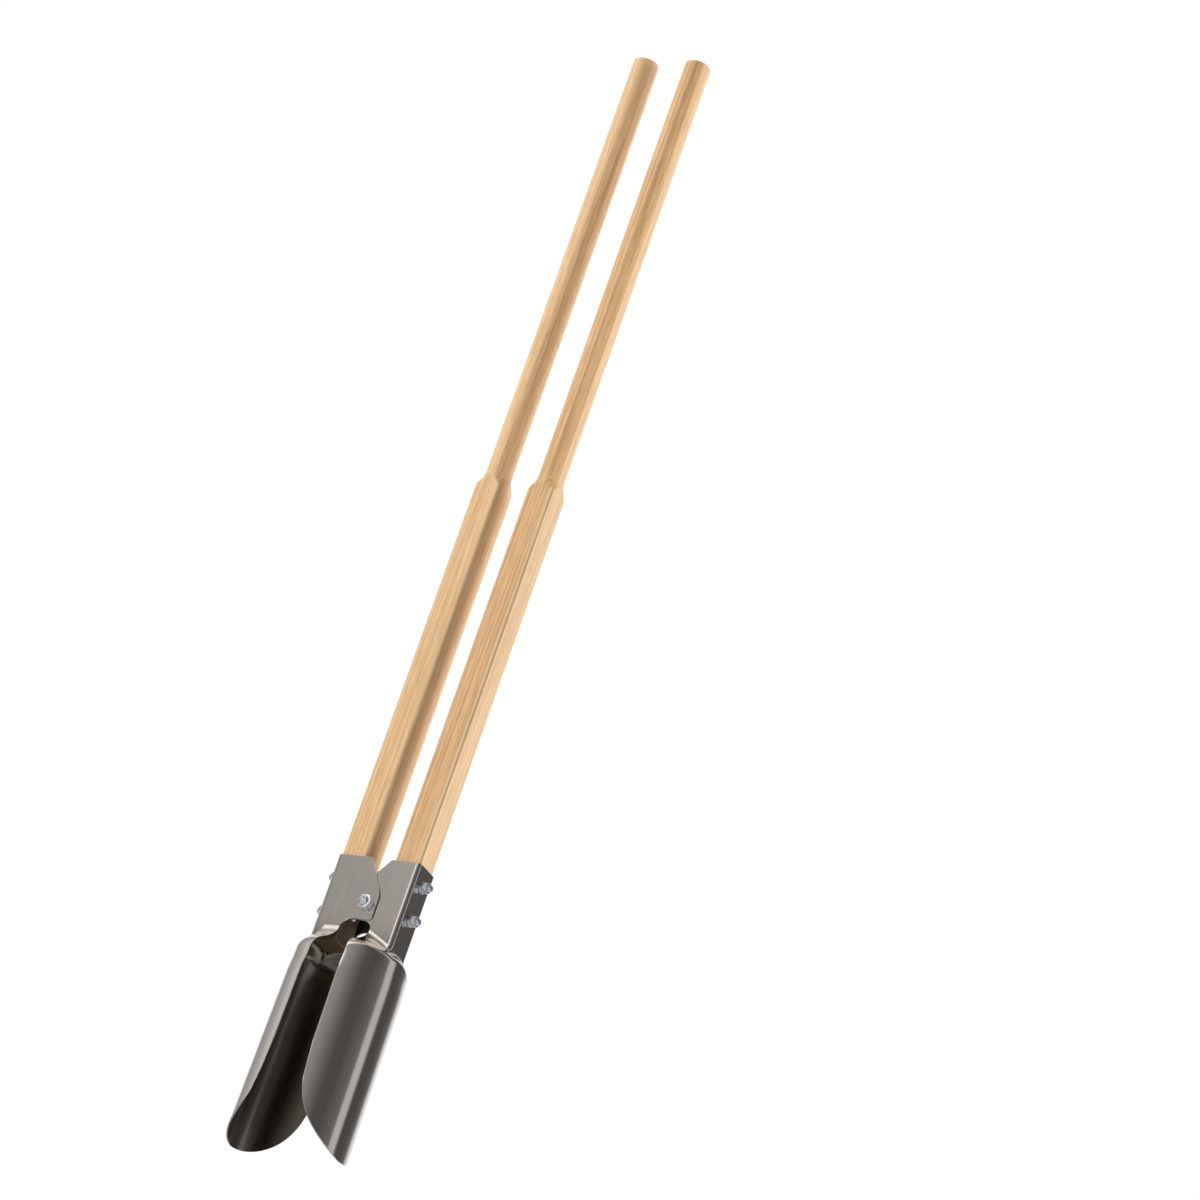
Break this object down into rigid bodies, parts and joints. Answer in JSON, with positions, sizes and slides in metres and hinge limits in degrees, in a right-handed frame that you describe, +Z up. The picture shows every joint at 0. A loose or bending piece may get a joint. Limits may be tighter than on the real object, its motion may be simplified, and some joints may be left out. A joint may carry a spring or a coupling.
{
  "type": "post hole digger",
  "caption": "Clamshell post hole digger: two long straight wooden handles bolted into hinged, pressed steel scoop blades.",
  "frame": {"origin": "midway between the two handles, level with the points of the blades", "axes": "+Z up along the handles, +X towards the right handle, -Y towards the front, where the pivot nut is"},
  "size_m": [0.145, 0.1236, 1.48],
  "materials": {
    "varnished_wood": "pale straight-grained hardwood under clear satin varnish",
    "lacquered_steel": "pressed sheet steel under a glossy warm grey lacquer",
    "zinc_plate": "bright zinc plate"
  },
  "bodies": {
    "left_half": {"left_handle": "varnished_wood", "left_head": "lacquered_steel", "left_upper_carriage_bolt": "zinc_plate", "left_upper_lock_washer": "zinc_plate", "left_upper_nut": "zinc_plate", "left_lower_carriage_bolt": "zinc_plate", "left_lower_lock_washer": "zinc_plate", "left_lower_nut": "zinc_plate", "pivot_bolt": "zinc_plate", "pivot_nut": "zinc_plate", "pivot_spacer": "zinc_plate"},
    "right_half": {"right_handle": "varnished_wood", "right_head": "lacquered_steel", "right_upper_carriage_bolt": "zinc_plate", "right_upper_lock_washer": "zinc_plate", "right_upper_nut": "zinc_plate", "right_lower_carriage_bolt": "zinc_plate", "right_lower_lock_washer": "zinc_plate", "right_lower_nut": "zinc_plate"}
  },
  "joints": [
    {"name": "pivot", "type": "hinge", "parent": "left_half", "child": "right_half", "pos_m": [0.0062, 0, 0.3102], "axis": [0, 1, 0], "range_deg": [-1.5, 13.5]}
  ]
}
